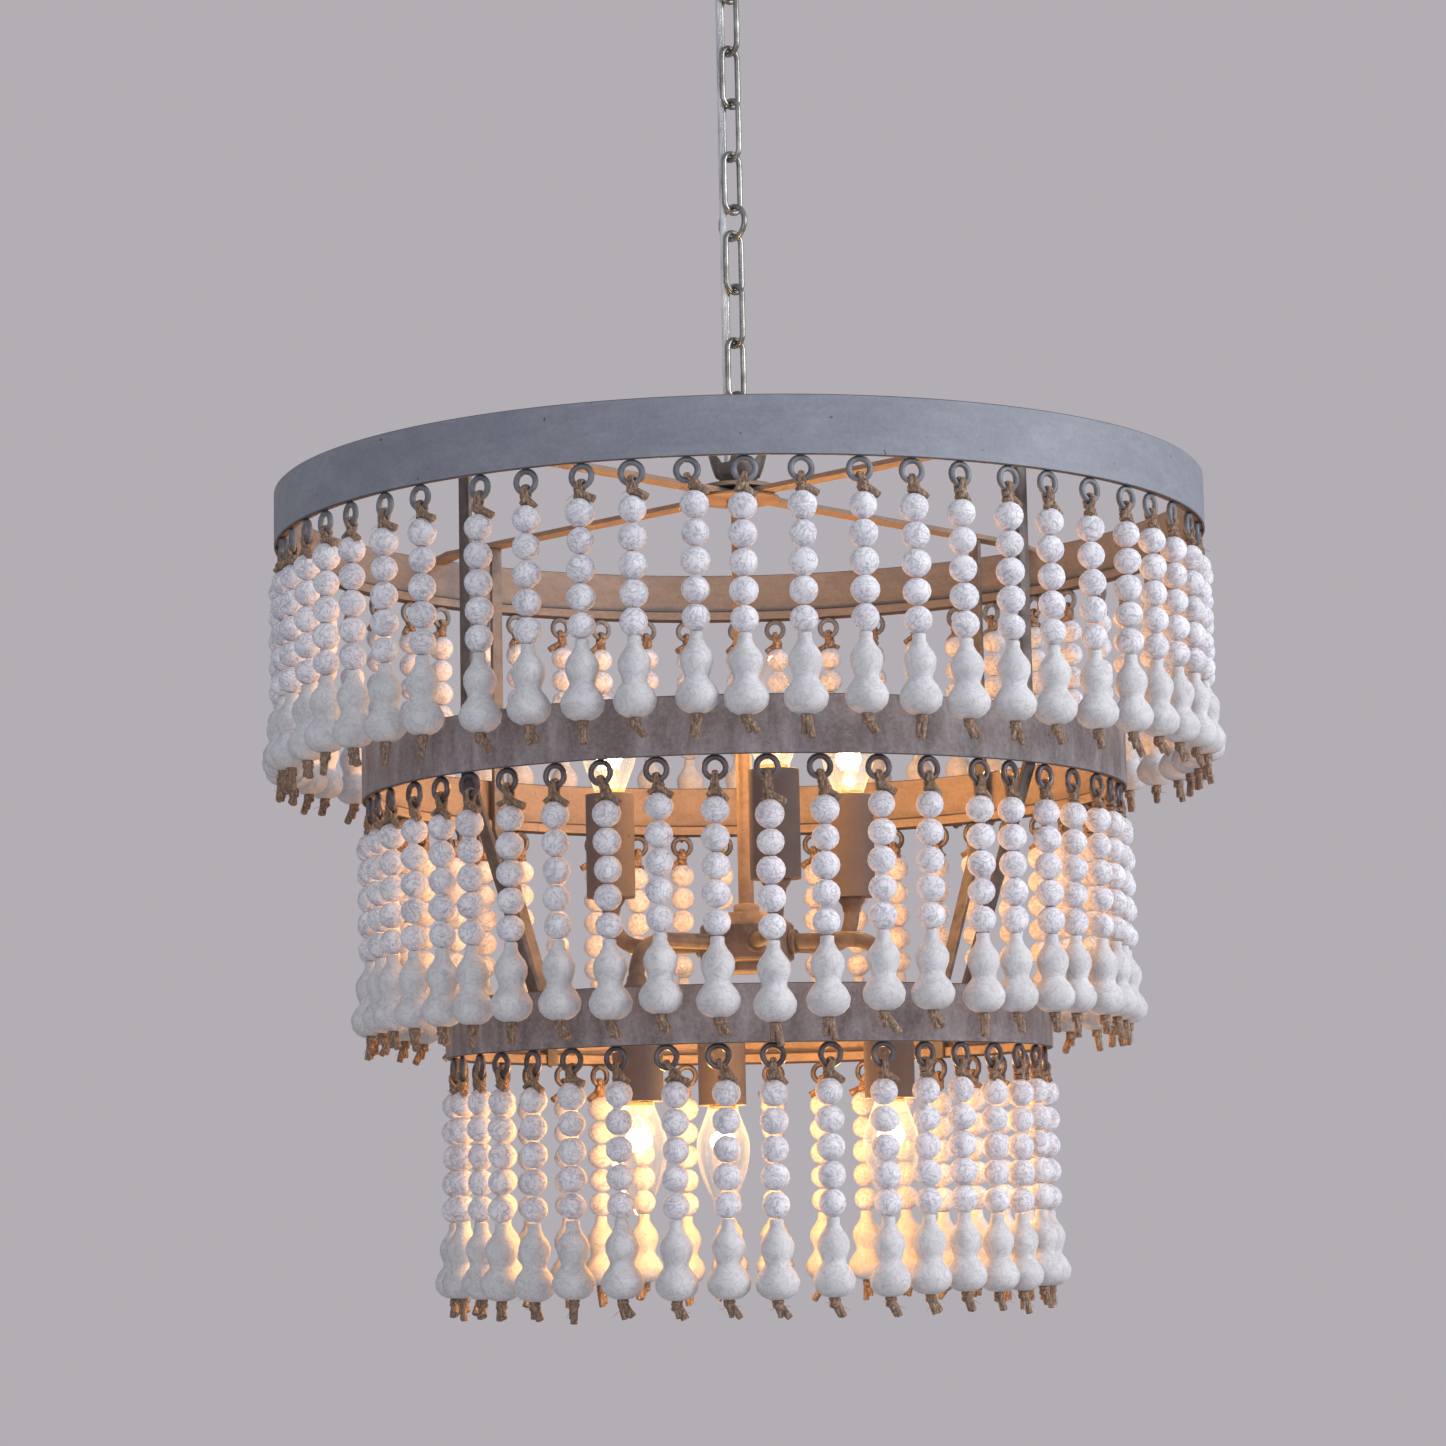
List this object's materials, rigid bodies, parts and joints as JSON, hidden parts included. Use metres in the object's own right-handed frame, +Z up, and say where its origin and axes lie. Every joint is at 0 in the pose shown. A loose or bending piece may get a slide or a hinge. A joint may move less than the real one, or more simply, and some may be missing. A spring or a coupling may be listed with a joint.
{
  "type": "beaded chandelier",
  "caption": "Tiered hanging chandelier with strands of wooden beads on painted metal hoops around a candle-lamp candelabra, on a link chain with a ceiling canopy.",
  "frame": {"origin": "on the ceiling, at the middle of the mounting bar's top face, on the chain's line", "axes": "+Z up along the chain, -Y towards the pictured front, +X to the right in the picture"},
  "size_m": [0.6122, 0.6122, 0.9318],
  "materials": {
    "weathered_paint": "matte distressed grey-blue paint",
    "dark_iron": "matte brown-grey",
    "chain_metal": "satin grey",
    "clear_cord": "clear jacket over silvery wire",
    "whitewashed_wood": "whitewashed, matte",
    "taupe_sleeve": "matte",
    "lamp_glass": "clear, lit from inside"
  },
  "bodies": {
    "ceiling": {"mounting_bar": "dark_iron", "threaded_nipple": "dark_iron", "canopy": "weathered_paint", "canopy_loop": "chain_metal", "supply_cord": "clear_cord"},
    "chain_link_1": {"chain_link_1": "chain_metal"},
    "chain_link_2": {"chain_link_2": "chain_metal"},
    "chain_link_3": {"chain_link_3": "chain_metal"},
    "chain_link_4": {"chain_link_4": "chain_metal"},
    "chain_link_5": {"chain_link_5": "chain_metal"},
    "joining_ring": {"joining_ring": "chain_metal"},
    "chain_link_6": {"chain_link_6": "chain_metal"},
    "chain_link_7": {"chain_link_7": "chain_metal"},
    "chain_link_8": {"chain_link_8": "chain_metal"},
    "chandelier": {"hanging_loop": "chain_metal", "top_hub": "weathered_paint", "cross_bar_1": "dark_iron", "cross_bar_2": "dark_iron", "hanger_1": "dark_iron", "hanger_2": "dark_iron", "hanger_3": "dark_iron", "hanger_4": "dark_iron", "top_hoop": "weathered_paint", "top_curtain_1": "whitewashed_wood", "top_curtain_2": "whitewashed_wood", "top_curtain_3": "whitewashed_wood", "top_curtain_4": "whitewashed_wood", "middle_hoop": "weathered_paint", "middle_curtain_1": "whitewashed_wood", "middle_curtain_2": "whitewashed_wood", "middle_curtain_3": "whitewashed_wood", "middle_curtain_4": "whitewashed_wood", "lower_hoop": "weathered_paint", "lower_curtain_1": "whitewashed_wood", "lower_curtain_2": "whitewashed_wood", "lower_curtain_3": "whitewashed_wood", "lower_curtain_4": "whitewashed_wood", "stem": "dark_iron", "lower_hub": "dark_iron", "arm_1": "dark_iron", "candle_sleeve_1": "taupe_sleeve", "arm_2": "dark_iron", "candle_sleeve_2": "taupe_sleeve", "arm_3": "dark_iron", "candle_sleeve_3": "taupe_sleeve", "arm_4": "dark_iron", "candle_sleeve_4": "taupe_sleeve", "arm_5": "dark_iron", "candle_sleeve_5": "taupe_sleeve", "arm_6": "dark_iron", "candle_sleeve_6": "taupe_sleeve"},
    "bulb_1": {"bulb_1": "lamp_glass"},
    "bulb_2": {"bulb_2": "lamp_glass"},
    "bulb_3": {"bulb_3": "lamp_glass"},
    "bulb_4": {"bulb_4": "lamp_glass"},
    "bulb_5": {"bulb_5": "lamp_glass"},
    "bulb_6": {"bulb_6": "lamp_glass"},
    "top_front_strand": {"top_front_strand": "whitewashed_wood"},
    "middle_front_strand": {"middle_front_strand": "whitewashed_wood"},
    "lower_front_strand": {"lower_front_strand": "whitewashed_wood"}
  },
  "joints": [
    {"name": "link_1_swing", "type": "hinge", "parent": "ceiling", "child": "chain_link_1", "pos_m": [0, 0, -0.0515], "axis": [0.7071, -0.7071, 0], "range_deg": [-25, 25], "deforming": ["supply_cord"]},
    {"name": "link_2_swing", "type": "hinge", "parent": "chain_link_1", "child": "chain_link_2", "pos_m": [0, 0, -0.0875], "axis": [0.7071, 0.7071, 0], "range_deg": [-25, 25]},
    {"name": "link_3_swing", "type": "hinge", "parent": "chain_link_2", "child": "chain_link_3", "pos_m": [0, 0, -0.1235], "axis": [-0.7071, 0.7071, 0], "range_deg": [-25, 25]},
    {"name": "link_4_swing", "type": "hinge", "parent": "chain_link_3", "child": "chain_link_4", "pos_m": [0, 0, -0.1595], "axis": [-0.7071, -0.7071, 0], "range_deg": [-25, 25]},
    {"name": "link_5_swing", "type": "hinge", "parent": "chain_link_4", "child": "chain_link_5", "pos_m": [0, 0, -0.1955], "axis": [0.7071, -0.7071, 0], "range_deg": [-25, 25]},
    {"name": "joining_ring_swing", "type": "hinge", "parent": "chain_link_5", "child": "joining_ring", "pos_m": [0, 0, -0.2315], "axis": [0.7071, 0.7071, 0], "range_deg": [-25, 25]},
    {"name": "link_6_swing", "type": "hinge", "parent": "joining_ring", "child": "chain_link_6", "pos_m": [0, 0, -0.2491], "axis": [-0.7071, 0.7071, 0], "range_deg": [-25, 25]},
    {"name": "link_7_swing", "type": "hinge", "parent": "chain_link_6", "child": "chain_link_7", "pos_m": [0, 0, -0.2851], "axis": [-0.7071, -0.7071, 0], "range_deg": [-25, 25]},
    {"name": "link_8_swing", "type": "hinge", "parent": "chain_link_7", "child": "chain_link_8", "pos_m": [0, 0, -0.3211], "axis": [0.7071, -0.7071, 0], "range_deg": [-25, 25]},
    {"name": "chandelier_swing", "type": "hinge", "parent": "chain_link_8", "child": "chandelier", "pos_m": [0, 0, -0.3571], "axis": [0.7071, 0.7071, 0], "range_deg": [-25, 25]},
    {"name": "bulb_1_turn", "type": "hinge", "parent": "chandelier", "child": "bulb_1", "pos_m": [0.01846, -0.09074, -0.6114], "axis": [0, 0, 1], "continuous": true},
    {"name": "bulb_2_turn", "type": "hinge", "parent": "chandelier", "child": "bulb_2", "pos_m": [0.08782, -0.02938, -0.8134], "axis": [0, 0, -1], "continuous": true},
    {"name": "bulb_3_turn", "type": "hinge", "parent": "chandelier", "child": "bulb_3", "pos_m": [0.06935, 0.06136, -0.6114], "axis": [0, 0, 1], "continuous": true},
    {"name": "bulb_4_turn", "type": "hinge", "parent": "chandelier", "child": "bulb_4", "pos_m": [-0.01846, 0.09074, -0.8134], "axis": [0, 0, -1], "continuous": true},
    {"name": "bulb_5_turn", "type": "hinge", "parent": "chandelier", "child": "bulb_5", "pos_m": [-0.08782, 0.02938, -0.6114], "axis": [0, 0, 1], "continuous": true},
    {"name": "bulb_6_turn", "type": "hinge", "parent": "chandelier", "child": "bulb_6", "pos_m": [-0.06935, -0.06136, -0.8134], "axis": [0, 0, -1], "continuous": true},
    {"name": "top_front_strand_swing", "type": "hinge", "parent": "chandelier", "child": "top_front_strand", "pos_m": [0.00387, -0.29537, -0.46965], "axis": [-0.9999, -0.0131, 0], "range_deg": [-15, 60]},
    {"name": "middle_front_strand_swing", "type": "hinge", "parent": "chandelier", "child": "middle_front_strand", "pos_m": [-0.01651, -0.23967, -0.63315], "axis": [-0.9976, 0.0687, 0], "range_deg": [-15, 60]},
    {"name": "lower_front_strand_swing", "type": "hinge", "parent": "chandelier", "child": "lower_front_strand", "pos_m": [0.01382, -0.18734, -0.79665], "axis": [-0.9973, -0.0736, 0], "range_deg": [-20, 60]}
  ]
}
